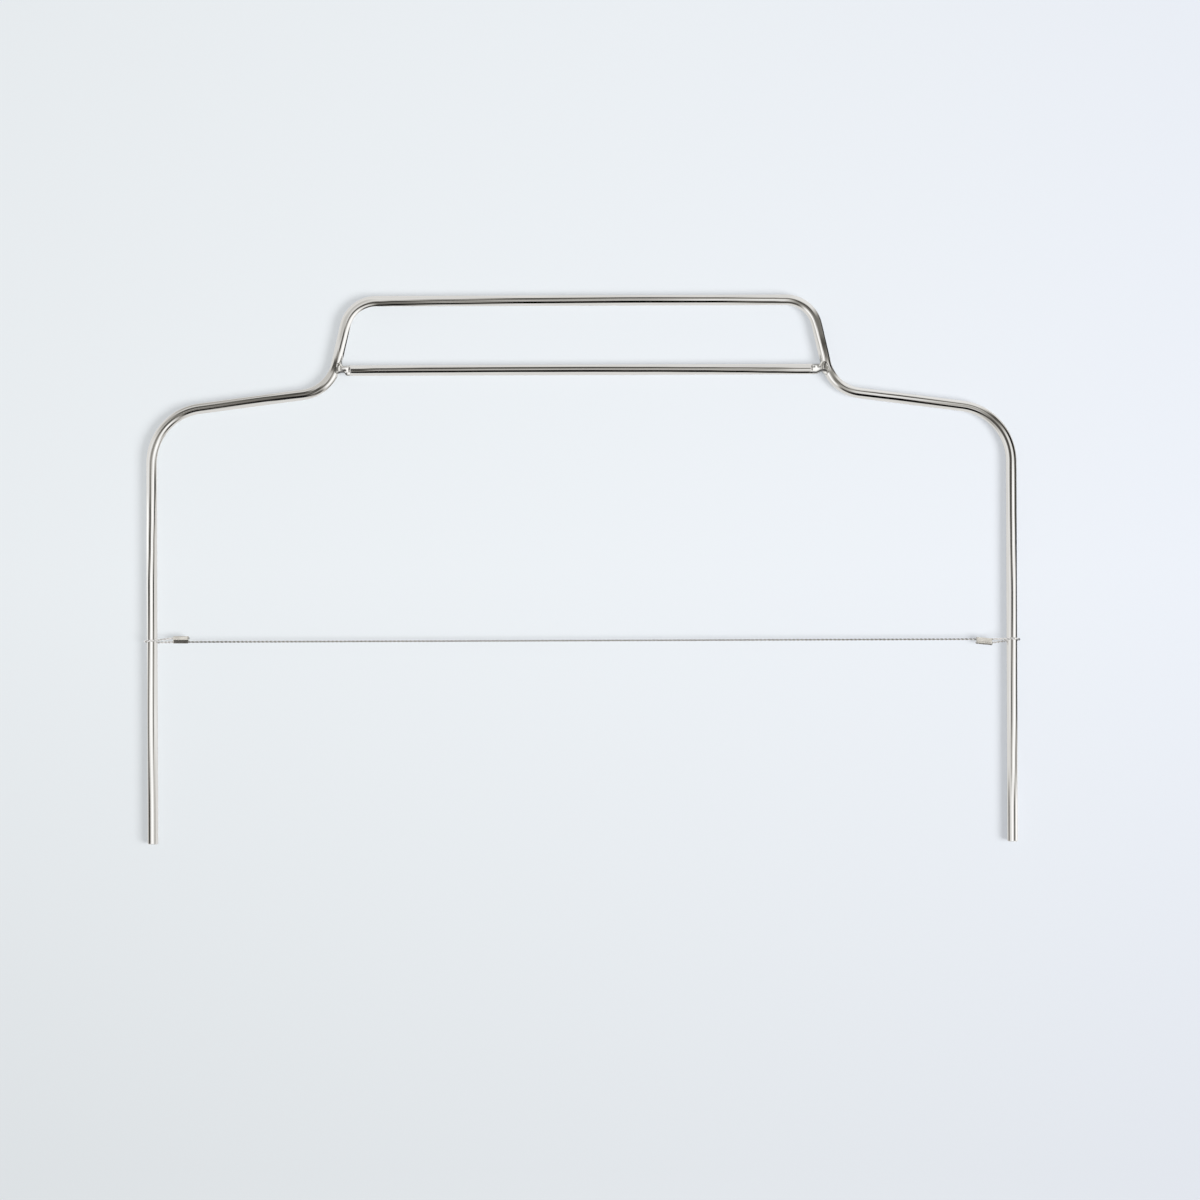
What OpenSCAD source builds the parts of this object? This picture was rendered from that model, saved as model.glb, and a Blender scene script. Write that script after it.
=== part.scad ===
// Cake leveler: a bent rod frame with a handle, a welded grip bar, and a thin
// cutting wire crimped into a loop round each leg.
// It lies flat, as on a table: X runs along the wire, Y from the leg ends to the
// handle, Z up. The origin is under the middle of the outline, on the table.

/* [Rod frame] */
// Diameter of the stainless rod
rod_d = 4; // [3:0.5:6]
// Distance between the axes of the two legs
leg_spacing = 326; // [260:2:420]
// Height of the outer corners above the leg ends
corner_h = 162.8; // [130:0.2:220]
// Rise of each shoulder, from its outer corner to the hip
shoulder_rise = 8.8; // [0:0.2:16]
// Distance between the two hip corners
hip_spacing = 190.2; // [150:0.2:210]
// Distance between the two upper corners of the handle
handle_w = 174.6; // [120:0.2:186]
// Height of the handle's top bar above the hips
handle_rise = 34.1; // [28:0.1:60]
// Centreline radius of the two outer bends
outer_bend_r = 21; // [10:1:30]
// Centreline radius of the two hip bends
hip_bend_r = 15; // [6:0.5:18]
// Centreline radius of the two upper bends of the handle
handle_bend_r = 12; // [6:0.5:16]
// Chamfer round each cut leg end
end_chamfer = 0.3; // [0.1:0.05:0.6]

/* [Grip bar] */
// Height of the grip bar above the hips
grip_rise = 7.8; // [6:0.1:12]
// Length of the pressed flats at each end of the bar
pinch_len = 4.6; // [3.5:0.1:8]
// Depth of each pressed flat
pinch_depth = 0.35; // [0.2:0.05:0.8]

/* [Welds] */
// Length of the weld nugget along the riser
nugget_len = 6.4; // [5.5:0.1:9]
// Width of the weld nugget across the riser
nugget_w = 3.3; // [2.8:0.1:4.5]
// How far the nugget's flat, pressed by the electrode, stands above the rod
nugget_flat = 0.15; // [0.1:0.05:0.2]
// Shift of the nugget from the riser's axis towards the bar
nugget_shift = 0.9; // [0.7:0.05:1.2]
// How far the flash of the weld stands out round the bar's end
flash_proud = 0.35; // [0.25:0.05:0.6]
// How far that flash runs along the bar, from the riser's surface
flash_len = 0.8; // [0.5:0.05:1.5]

/* [Cutting wire] */
// Diameter over the twisted wire
wire_d = 0.8; // [0.5:0.1:1.2]
// Height of the wire above the leg ends
wire_h = 76.7; // [40:0.1:110]
// Gap between a wire loop and its leg
loop_clearance = 0.3; // [0.2:0.05:0.6]
// Tilt of each loop's plane about the wire
loop_tilt = 9; // [0:1:20]
// Shift of each loop's middle towards the wire's tail
loop_shift = 0.15; // [0:0.05:0.4]

/* [Ferrules] */
// Length of each crimped ferrule
ferrule_len = 5.9; // [4:0.1:9]
// Thickness of a ferrule across its flat sides
ferrule_t = 1.7; // [1.5:0.05:2.4]
// Distance between the two wire channels of a ferrule
channel_pitch = 1.4; // [1.3:0.05:2]
// Distance from the left leg's axis to its ferrule
left_reach = 7.7; // [6:0.1:14]
// Distance from the right leg's axis to its ferrule
right_reach = 7.3; // [6:0.1:14]
// Angle by which the right ferrule was crimped askew
right_skew = 3; // [0:0.5:4]
// Length of the cut wire tail that stands out of a ferrule
tail_out = 0.3; // [0.1:0.05:1]
// Length of straight wire between a ferrule's mouth and the loop
wire_out = 0.2; // [0.15:0.05:1]
// Gap at the left ferrule's mouth, where the wire swivels
mouth_gap = 0.1; // [0.05:0.01:0.15]

/* [Hidden] */

// Sides of a rod's section, and of a wire's
rod_fn = 64;
wire_fn = 32;

// Length of the collar at a joint between a straight and a bend, and how far it
// stands out
joint_len = 0.6;
joint_proud = 0.03;

rod_r = rod_d / 2;
wire_r = wire_d / 2;
leg_x = leg_spacing / 2;
hip_x = hip_spacing / 2;
hip_h = corner_h + shoulder_rise;
handle_h = hip_h + handle_rise;
grip_h = hip_h + grip_rise;
overall_h = handle_h + rod_r;

// The loops pass under the legs, so the rods lie this high above the table
axis_z = rod_r + loop_clearance + wire_d;

// Corners of the bent rod's centreline, from the left leg's end to the right one's,
// and the bend at each corner between them
rod_corners = [
  [-leg_x, end_chamfer],
  [-leg_x, corner_h],
  [-hip_x, hip_h],
  [-handle_w / 2, handle_h],
  [handle_w / 2, handle_h],
  [hip_x, hip_h],
  [leg_x, corner_h],
  [leg_x, end_chamfer]
];
bend_radii = [
  outer_bend_r, hip_bend_r, handle_bend_r,
  handle_bend_r, hip_bend_r, outer_bend_r
];

function unit(v) = v / norm(v);
function left_of(v) = [-v.y, v.x];
function turn(a, b, c) =
  let (u = unit(b - a), v = unit(c - b)) atan2(u.x * v.y - u.y * v.x, u * v);

// Distance from a corner to where its bend starts; none at the two rod ends
function setback(i) =
  i == 0 || i == len(rod_corners) - 1
    ? 0
    : bend_radii[i - 1]
      * tan(abs(turn(rod_corners[i - 1], rod_corners[i], rod_corners[i + 1])) / 2);

// Lean of a riser, where the right hip's bend ends on it, and the middle of that bend
riser_lean = atan2(hip_x - handle_w / 2, handle_rise);
hip_top = [hip_x, hip_h] + setback(5) * [-sin(riser_lean), cos(riser_lean)];
hip_middle = hip_top + hip_bend_r * [cos(riser_lean), sin(riser_lean)];

// The riser's lean where the grip bar meets it, on the straight or on the bend below
// it, and half the bar's length between the risers' axes
on_straight = grip_h >= hip_top.y;
grip_lean = on_straight ? riser_lean : asin((hip_middle.y - grip_h) / hip_bend_r);
grip_x = on_straight
  ? hip_x - grip_rise * tan(riser_lean)
  : hip_middle.x - hip_bend_r * cos(grip_lean);

// A point of the frame's plane, in space
function flat(p) = [p.x, p.y, 0];

// Turns what is drawn up from the origin so that it runs from point a towards b
module aimed(a, b) {
  run = b - a;
  translate(a)
    rotate([0, acos(run.z / norm(run)), atan2(run.y, run.x)])
      children();
}

// Straight round bar between two points
module bar(a, b, d, sides) {
  aimed(a, b) cylinder(h = norm(b - a), d = d, $fn = sides);
}

// Collar that closes the joint at point a between a bend and the straight that runs
// from there towards b, a hair wider than both
module joint_collar(a, b, d, sides) {
  aimed(a, b)
    translate([0, 0, -joint_len / 2])
      cylinder(h = joint_len, d = d + 2 * joint_proud, $fn = sides);
}

// Straight stretch of the rod, from one corner's bend to the next
module rod_straight(i) {
  a = rod_corners[i];
  b = rod_corners[i + 1];
  along = unit(b - a);
  bar(flat(a + along * setback(i)), flat(b - along * setback(i + 1)), rod_d, rod_fn);
}

// Bend of the rod at a corner, with the joints at both its ends
module rod_bend(i) {
  a = rod_corners[i - 1];
  b = rod_corners[i];
  c = rod_corners[i + 1];
  bend = turn(a, b, c);
  start = b - unit(b - a) * setback(i);
  end = b + unit(c - b) * setback(i);
  centre = start + left_of(unit(b - a)) * sign(bend) * bend_radii[i - 1];
  from = atan2(start.y - centre.y, start.x - centre.x);
  translate([centre.x, centre.y, 0])
    rotate([0, 0, bend > 0 ? from : from + bend])
      rotate_extrude(angle = abs(bend), $fn = 4 * rod_fn)
        translate([bend_radii[i - 1], 0])
          circle(d = rod_d, $fn = rod_fn);
  joint_collar(flat(start), flat(a), rod_d, rod_fn);
  joint_collar(flat(end), flat(c), rod_d, rod_fn);
}

// Chamfered end of a leg
module leg_end(x) {
  translate([x, 0, 0])
    rotate([-90, 0, 0])
      cylinder(h = end_chamfer, r1 = rod_r - end_chamfer, r2 = rod_r, $fn = rod_fn);
}

module rod_solid() {
  for (i = [0 : len(rod_corners) - 2]) rod_straight(i);
  for (i = [1 : len(rod_corners) - 2]) rod_bend(i);
  leg_end(-leg_x);
  leg_end(leg_x);
}

// Both risers with their hip bends, which the grip bar and the welds meet
module risers() {
  for (i = [2, 4]) rod_straight(i);
  for (i = [2, 5]) rod_bend(i);
}

// Grip bar from one riser's axis to the other's, its ends pressed flat above and below
module pinched_bar() {
  flat_z = rod_r - pinch_depth;
  difference() {
    bar([-grip_x, grip_h, 0], [grip_x, grip_h, 0], rod_d, rod_fn);
    for (side = [-1, 1])
      for (face = [-1, 1])
        translate([side * grip_x, grip_h, face * (flat_z + rod_r)])
          cube([2 * (rod_r + pinch_len), 2 * rod_d, rod_d], center = true);
  }
}

// The same bar, coped at its ends to the risers that it is welded to
module grip_solid() {
  difference() {
    pinched_bar();
    risers();
  }
}

// Oval column about Z, long along Y
module oval(long, wide, high) {
  cube([wide, long - wide, high], center = true);
  for (y = [-1, 1])
    translate([0, y * (long - wide) / 2, 0])
      cylinder(h = high, d = wide, center = true, $fn = rod_fn);
}

// Weld where the bar meets a riser, on the left at side -1 and on the right at side 1:
// the oval nugget that the electrodes pressed flat above and below, and the ring of
// flash round the bar's end, which follows the riser's surface
module weld(side) {
  flat_h = rod_d + 2 * nugget_flat;
  ring_d = rod_d + 2 * flash_proud;
  difference() {
    translate([side * grip_x, grip_h, 0]) {
      translate([-side * nugget_shift, 0, 0])
        rotate([0, 0, side * grip_lean])
          oval(nugget_len, nugget_w, flat_h);
      intersection() {
        bar([0, 0, 0], [-side * 2 * nugget_len, 0, 0], ring_d, rod_fn);
        rotate([0, 0, side * grip_lean])
          cube([2 * (rod_r + flash_len), 4 * nugget_len, flat_h], center = true);
      }
    }
    risers();
    pinched_bar();
  }
}

// End of a line from a through m, carried on past m by a wire's diameter along X
function carried_on(a, m) = m + (m - a) * wire_d / (m.x - a.x);

// Wire loop round a leg, drawn with the leg's axis on Y and its ferrule towards +X.
// One strand leaves the ferrule at high_y and goes over the leg; the other comes
// back under the leg to low_y. Both are cut square to X, at cut_x.
module wire_loop(reach, cut_x, high_y, low_y, shift) {
  loop_r = (rod_r + loop_clearance + wire_r) / cos(loop_tilt);
  wrap = acos(loop_r / reach);
  up = loop_r * sin(wrap) * [0, sin(loop_tilt), cos(loop_tilt)];
  middle = [loop_r * cos(wrap), shift, 0];
  difference() {
    union() {
      translate([0, shift, 0])
        rotate([90 - loop_tilt, 0, 0])
          rotate([0, 0, wrap])
            rotate_extrude(angle = 360 - 2 * wrap, $fn = 4 * wire_fn)
              translate([loop_r, 0])
                circle(d = wire_d, $fn = wire_fn);
      for (end = [[middle + up, [reach, high_y, 0]], [middle - up, [reach, low_y, 0]]]) {
        joint_collar(end[0], end[1], wire_d, wire_fn);
        bar(end[0], carried_on(end[0], end[1]), wire_d, wire_fn);
      }
    }
    translate([cut_x, -rod_d, -rod_d]) cube(2 * rod_d);
  }
}

// Crimped ferrule in the same frame as its loop, with a channel on the wire's axis
// and one for the wire's tail on tail_side of it
module ferrule(reach, tail_side, skew) {
  start = reach + wire_out;
  difference() {
    translate([start + ferrule_len / 2, tail_side * channel_pitch / 2, 0])
      rotate([0, 0, skew])
        union() {
          cube([ferrule_len, channel_pitch, ferrule_t], center = true);
          for (side = [-1, 1])
            translate([-ferrule_len / 2, side * channel_pitch / 2, 0])
              rotate([0, 90, 0])
                cylinder(h = ferrule_len, d = ferrule_t, $fn = rod_fn);
        }
    for (y = [0, tail_side * channel_pitch])
      bar([reach, y, 0], [start + ferrule_len + wire_d, y, 0], wire_d, wire_fn);
  }
}

// Cut end of the wire, crimped in its ferrule beside the standing wire
module tail(reach, tail_side) {
  y = tail_side * channel_pitch;
  bar([reach, y, 0], [reach + wire_out + ferrule_len + tail_out, y, 0], wire_d, wire_fn);
}

// Places what is drawn from the leg ends up, about the rod's plane
module placed() {
  translate([0, -overall_h / 2, axis_z]) children();
}

// Places what is drawn from a leg's axis, with the ferrule towards +X
module at_left_leg() {
  placed() translate([-leg_x, wire_h, 0]) children();
}
module at_right_leg() {
  placed() translate([leg_x, wire_h, 0]) mirror([1, 0, 0]) children();
}

module frame_rod() {
  color("silver") placed() rod_solid();
}

module grip_bar() {
  color("silver") placed() grip_solid();
}

module weld_left() {
  color("gainsboro") placed() weld(-1);
}

module weld_right() {
  color("gainsboro") placed() weld(1);
}

module loop_left() {
  color("slategray")
    at_left_leg()
      wire_loop(left_reach, left_reach - mouth_gap, channel_pitch, 0, loop_shift);
}

module loop_right() {
  color("slategray")
    at_right_leg()
      wire_loop(right_reach, right_reach, 0, -channel_pitch, -loop_shift);
}

module ferrule_left() {
  color("darkgray") at_left_leg() ferrule(left_reach, 1, 0);
}

module ferrule_right() {
  color("darkgray") at_right_leg() ferrule(right_reach, -1, right_skew);
}

module tail_left() {
  color("slategray") at_left_leg() tail(left_reach, 1);
}

module tail_right() {
  color("slategray") at_right_leg() tail(right_reach, -1);
}

module cutting_wire() {
  color("slategray")
    placed()
      bar([left_reach - leg_x, wire_h, 0], [leg_x - right_reach, wire_h, 0], wire_d, wire_fn);
}

frame_rod();
grip_bar();
weld_left();
weld_right();
loop_left();
ferrule_left();
tail_left();
cutting_wire();
ferrule_right();
tail_right();
loop_right();
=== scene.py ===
# Looks of a cake leveler that lies flat on a pale table, seen from straight above:
# a bent rod frame with a welded grip bar, and a twisted cutting wire that is crimped
# into a loop round each leg. Lengths are in metres.
import math

import bpy
import bmesh
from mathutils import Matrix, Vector, noise

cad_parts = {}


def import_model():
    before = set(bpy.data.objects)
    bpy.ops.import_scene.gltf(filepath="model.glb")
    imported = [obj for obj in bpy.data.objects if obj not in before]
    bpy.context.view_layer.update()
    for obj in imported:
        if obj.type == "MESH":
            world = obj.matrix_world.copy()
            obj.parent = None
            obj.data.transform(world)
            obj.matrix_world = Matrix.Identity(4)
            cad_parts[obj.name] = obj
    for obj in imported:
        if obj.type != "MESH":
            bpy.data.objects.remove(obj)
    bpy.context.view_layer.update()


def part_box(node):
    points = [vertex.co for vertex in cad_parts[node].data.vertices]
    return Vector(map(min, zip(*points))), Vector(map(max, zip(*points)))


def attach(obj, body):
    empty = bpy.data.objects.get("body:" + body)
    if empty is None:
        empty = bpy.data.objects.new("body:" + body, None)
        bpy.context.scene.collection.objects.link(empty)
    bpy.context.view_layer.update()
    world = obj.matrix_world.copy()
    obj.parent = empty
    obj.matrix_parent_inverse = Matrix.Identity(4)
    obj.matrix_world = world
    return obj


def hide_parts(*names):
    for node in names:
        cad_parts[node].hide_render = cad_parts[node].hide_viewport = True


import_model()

MM = 0.001

# Frame, as the solids have it
ROD_LOW, ROD_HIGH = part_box("frame_rod")
GRIP_LOW, GRIP_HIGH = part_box("grip_bar")
WIRE_LOW, WIRE_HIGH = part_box("cutting_wire")
ROD_R = (GRIP_HIGH.y - GRIP_LOW.y) / 2
LEG_X = (ROD_HIGH.x - ROD_LOW.x) / 2 - ROD_R
BASE_Y = ROD_LOW.y
AXIS_Z = (GRIP_LOW.z + GRIP_HIGH.z) / 2
WIRE_Y = (WIRE_LOW.y + WIRE_HIGH.y) / 2
GRIP_Y = (GRIP_LOW.y + GRIP_HIGH.y) / 2

# Bent rod, as the source of the solids gives it
CORNER_H = 162.8 * MM
SHOULDER_RISE = 8.8 * MM
HIP_SPACING = 190.2 * MM
HANDLE_W = 174.6 * MM
HANDLE_RISE = 34.1 * MM
OUTER_BEND_R = 21 * MM
HIP_BEND_R = 15 * MM
HANDLE_BEND_R = 12 * MM
END_CHAMFER = 0.3 * MM
# Radius at each corner, from the left leg's end to the right's
ROD_BENDS = [0, OUTER_BEND_R, HIP_BEND_R, HANDLE_BEND_R, HANDLE_BEND_R, HIP_BEND_R, OUTER_BEND_R, 0]
BEND_STEPS = 40
ROD_STEP = 1 * MM
ROD_SIDES = 48

# Ends of the grip bar, on the left and on the right: where the pressed flat starts, and
# how much of the lower side the electrode took, from where to where. Distances are from
# the riser's axis.
PINCHES = {-1: (5.3 * MM, 0.58, 3.5 * MM, 4.7 * MM), 1: (5.6 * MM, 0.58, 1.8 * MM, 4.6 * MM)}
PINCH_DEPTH = 0.35 * MM
PINCH_RUN = 0.9 * MM
PINCH_ROUND = 0.1 * MM
# Dents in the flats, in millimetres: distance from the riser's axis, place across the
# bar, length, width and depth
DENTS = {-1: [(3.5, 0.0, 0.62, 0.34, 0.42), (4.5, -1.1, 0.4, 0.4, 0.2)],
         1: [(5.5, 0.85, 0.42, 0.3, 0.3), (3.3, 0.95, 0.42, 0.32, 0.34)]}

# Weld nuggets
NUGGET_LEN = 6.4 * MM
NUGGET_W = 3.3 * MM
NUGGET_FLAT = 0.15 * MM
NUGGET_SHIFT = 0.9 * MM
NUGGET_DISH = 0.12 * MM
NUGGET_RIM = 0.11 * MM
NUGGET_RIM_AT = 0.80
NUGGET_RIM_REACH = 0.13
NUGGET_MARGIN = 0.01 * MM
NUGGET_ROUGH = 0.045 * MM
NUGGET_GRAIN = 0.45 * MM
NUGGET_EDGE = 0.5 * MM
NUGGET_EDGE_FROM = 0.9
NUGGET_EDGE_RUN = 0.1
NUGGET_CORNERS = 0.9
# How far each nugget goes down the riser from the bar's axis, and how steep its ridge is
NUGGET_FORMS = {-1: (1.2 * MM, 0.20), 1: (2.1 * MM, 0.0)}
RIDGE_AT = 0.2 * MM
# Nick in its lower inner corner: place along the riser and towards the bar, length, width
NICK = (-1.3 * MM, 1.0 * MM, 0.45 * MM, 0.4 * MM)
NICK_DEPTH = 0.3 * MM

# Flash round the bar's ends
FLASH_PROUD = 0.35 * MM
FLASH_LEN = 0.8 * MM
FLASH_THINS_FROM = 1.7 * MM
FLASH_ROUND = 0.15 * MM
FLASH_ROUGH = 0.025
FLASH_GRAIN = 0.6 * MM
# Shares of the nugget's height that the flash stands over the rod, and loses as it thins
FLASH_RISE = 0.6
FLASH_SINK = 0.5

# Dark lines and spots round the welds, on the left and on the right, in millimetres: partly heat
# tint, and partly painted shade in the crevices at the bar's ends and painted dark reflection on
# the nuggets. Given are the corners of each line (distance from the riser's axis towards the
# middle, height over the bar's axis), its reach to either side, and how dark it is. Nothing is
# darkened further from the riser's axis than the limit below.
WELD_BURNS_AND_SHADE = {-1: [([(0.6, -1.6), (2.0, -0.7), (3.4, -0.58), (4.6, -1.5)], 0.36, 1.0),
              ([(3.1, 0.2), (4.3, -0.1)], 0.32, 0.95),
              ([(0.3, 4.0), (0.7, 1.8), (0.2, -0.2)], 0.55, 0.7)],
         1: [([(5.8, -1.3), (4.4, -1.35), (2.9, -0.68), (1.5, -0.45), (0.8, -0.7)], 0.38, 1.0),
             ([(0.7, 3.4), (1.1, 1.6), (1.4, 0.5)], 0.34, 0.9),
             ([(5.3, 0.7), (5.0, 0.7)], 0.24, 0.8), ([(3.1, 0.7), (2.9, 0.7)], 0.26, 0.8)]}
DARKENED_WITHIN = 8

# Crimped ferrules: their section, and what differs on the left and on the right
FERRULE_FLAT = 0.35 * MM
FERRULE_SLOPE = 0.7
FERRULE_BULGE = 1.25
FERRULE_ROUND = 0.25 * MM
FERRULE_PRESS = 0.86
FERRULE_LIP = 0.18 * MM
FERRULE_LIP_DROP = 0.14
FERRULE_BITE = 0.05
FERRULE_BITE_REACH = 0.3
FERRULE_TURN = {-1: math.radians(12), 1: math.radians(-8)}
FERRULE_HALF_W = {-1: 1.50 * MM, 1: 1.30 * MM}
FERRULE_LOWER_SIDE = {-1: 0.84, 1: 1.0}
FERRULE_SKEW = {-1: 0, 1: math.radians(-6)}
# Painted shade line along the right ferrule's lower edge: where it lies across the ferrule, its
# reach and how dark it is.
EDGE_SHADE_AT = 0.86
EDGE_SHADE_REACH = 0.24 * MM
EDGE_SHADE_TONE = 0.9

# Cutting wire, its loops and its ferrules
WIRE_D = 0.8 * MM
STRAND_D = 0.42 * MM
STRAND_LAY = 3.12 * MM
STRAND_SIDES = 10
STEPS_IN_A_LAY = 20
# Painted shade in the grooves between the wire's strands: how far from the wire's axis it reaches,
# its soft edge and how dark it is.
GROOVE_REACH = 0.30 * MM
GROOVE_SOFT = 0.14 * MM
GROOVE_SHADE_TONE = 0.85
LOOP_CLEARANCE = 0.3 * MM
LOOP_TILT = math.radians(9)
LOOP_SHIFT = 0.15 * MM
LOOP_STEPS = 48
CHANNEL_PITCH = 1.4 * MM
LEFT_REACH = 7.7 * MM
RIGHT_REACH = 7.3 * MM
MOUTH_GAP = 0.1 * MM

# Photograph: width of the field at the rod's height, its middle, and its turn
FIELD_W = 455.2 * MM
VIEW_X = 6.88 * MM
VIEW_Y = -11.78 * MM
VIEW_TURN = math.radians(-0.2)
LENS_MM = 85
SENSOR_MM = 36


# Camera

def camera():
    data = bpy.data.cameras.new("camera")
    data.lens = LENS_MM
    data.sensor_width = SENSOR_MM
    cam = bpy.data.objects.new("camera", data)
    height = FIELD_W * LENS_MM / SENSOR_MM
    cam.location = (VIEW_X, VIEW_Y, AXIS_Z + height)
    cam.rotation_euler = (0, 0, VIEW_TURN)
    bpy.context.scene.collection.objects.link(cam)
    bpy.context.scene.camera = cam


# Nodes

def nodes_of(tree):
    """A function that adds a node to a tree, with its settings and its inputs. Each input
    is a plain value or another node's output."""
    def add(kind, inputs=None, **settings):
        node = tree.nodes.new(kind)
        for name, value in settings.items():
            setattr(node, name, value)
        for key, value in (inputs or {}).items():
            if isinstance(value, bpy.types.NodeSocket):
                tree.links.new(value, node.inputs[key])
            else:
                node.inputs[key].default_value = value
        return node
    return add


def maths(add, operation, *terms):
    return add("ShaderNodeMath", dict(enumerate(terms)), operation=operation).outputs[0]


def vectors(add, operation, *terms):
    return add("ShaderNodeVectorMath", dict(enumerate(terms)), operation=operation).outputs[0]


def scaled(add, vector, scale):
    node = add("ShaderNodeVectorMath", {0: vector, "Scale": scale}, operation="SCALE")
    return node.outputs[0]


def ranged(add, value, source, target=(0, 1), **settings):
    """A value taken from one range to another."""
    limits = dict(zip(("From Min", "From Max", "To Min", "To Max"), (*source, *target)))
    return add("ShaderNodeMapRange", {"Value": value, **limits}, **settings).outputs[0]


def mixed(add, share, first, second):
    """A colour between two others."""
    inputs = {"Factor": share, "A": (*first, 1), "B": (*second, 1)}
    return add("ShaderNodeMix", inputs, data_type="RGBA").outputs["Result"]


def new_material(name):
    """Material with no nodes yet, and the function that adds them."""
    mat = bpy.data.materials.new(name)
    mat.use_nodes = True
    mat.node_tree.nodes.clear()
    return mat, nodes_of(mat.node_tree)


# Table and light

def plane(name, x, y, z):
    """Level rectangle between two values of x and two of y."""
    mesh = bpy.data.meshes.new(name)
    corners = [(x[0], y[0], z), (x[1], y[0], z), (x[1], y[1], z), (x[0], y[1], z)]
    mesh.from_pydata(corners, [], [(0, 1, 2, 3)])
    obj = bpy.data.objects.new(name, mesh)
    bpy.context.scene.collection.objects.link(obj)
    return obj


TABLE_HALF = 2.5
# TABLE_LEFT and TABLE_RIGHT hold the board's colour with painted light across it, and the front is
# darkened by painted shade.
TABLE_LEFT = (0.888, 0.927, 0.955)
TABLE_RIGHT = (0.812, 0.846, 0.906)
TABLE_FRONT_SHADE = 0.88
TABLE_OWN_LIGHT = 0.50
TABLE_GLOW = 0.96


def table_material():
    """Pale board with painted light in its colour: a little bluer and darker to the right, and
    darker to the front. Part of what the camera sees of it is its own even light, so that shadows
    stay soft."""
    mat, add = new_material("table_top")
    place = add("ShaderNodeSeparateXYZ", {0: add("ShaderNodeTexCoord").outputs["Object"]})
    across = ranged(add, place.outputs["X"], (-FIELD_W / 2, FIELD_W / 2))
    front_shade = ranged(add, place.outputs["Y"], (-FIELD_W / 2, 0), (TABLE_FRONT_SHADE, 1))
    tint = mixed(add, maths(add, "POWER", across, 2), TABLE_LEFT, TABLE_RIGHT)
    shade = scaled(add, tint, front_shade)
    skin = add("ShaderNodeBsdfDiffuse", {"Color": shade})
    glow = add("ShaderNodeEmission", {"Color": shade, "Strength": TABLE_GLOW})
    seen = add("ShaderNodeLightPath").outputs["Is Camera Ray"]
    share = maths(add, "MULTIPLY", seen, TABLE_OWN_LIGHT)
    both = add("ShaderNodeMixShader", {0: share, 1: skin.outputs[0], 2: glow.outputs[0]})
    add("ShaderNodeOutputMaterial", {0: both.outputs[0]})
    return mat


def table():
    top = plane("table_top", (-TABLE_HALF, TABLE_HALF), (-TABLE_HALF, TABLE_HALF), 0)
    top.data.materials.append(table_material())


def glow_material(name, colour, strength):
    mat, add = new_material(name)
    glow = add("ShaderNodeEmission", {"Color": (*colour, 1), "Strength": strength})
    add("ShaderNodeOutputMaterial", {0: glow.outputs[0]})
    return mat


def only_in_reflections(obj):
    obj.visible_camera = False
    obj.visible_diffuse = False
    obj.visible_transmission = False
    obj.visible_volume_scatter = False
    obj.visible_shadow = False


# Panels over the table that the bright rod mirrors: name, x, y, height, colour
# and strength. They are what stands round the camera in a small studio.
PANELS = [
    ("panel_left", (-1.1, -0.19), (-0.9, 0.9), 0.40, (1.0, 0.99, 0.98), 1.0),
    ("panel_right", (0.19, 1.1), (-0.9, 0.9), 0.40, (1.0, 0.99, 0.98), 1.0),
    ("shade_over", (-0.19, 0.19), (0.0, 0.22), 0.40, (0.40, 0.38, 0.35), 1.0),
    ("shade_back", (-0.19, 0.19), (0.22, 0.9), 0.40, (0.24, 0.22, 0.19), 1.0),
    ("shade_front", (-0.19, 0.19), (-0.6, 0.0), 0.40, (0.05, 0.045, 0.04), 1.0),
]


def panels():
    for name, x, y, z, colour, strength in PANELS:
        panel = plane(name, x, y, z)
        panel.data.materials.append(glow_material(name, colour, strength))
        only_in_reflections(panel)


# Reflector cards that stand round the bright rod like a sleeve, seen only in the metal,
# and set so that its bright and dark lines run as in the photograph. Each stretch of the
# rod has its place along the rod, in millimetres from the nearer leg's end, and its
# cards: from one angle to another, in degrees from straight up and positive on the
# frame's inner side, and the card's shade.
SLEEVE_R = 8 * MM
GRIP_SLEEVE_R = 5 * MM
SLEEVE_REACH = 24 * MM
GRIP_SLEEVE_FROM = 5.6 * MM
SLEEVE_SIDES = 180
SLEEVE_FLOOR = AXIS_Z - 0.1 * MM
SLEEVE_OPEN_FROM = 136
ROOM = 0.88
SOFT_EDGE = 6
CARD_WARM = (1.0, 0.95, 0.85)
CARD_WHITE = (1.0, 1.0, 1.0)
BLACK, DARK, DIM, MILD, GREY, SOFT, PALE, WHITE = 0.0, 0.09, 0.22, 0.34, 0.50, 0.68, 1.0, 1.32
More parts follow.
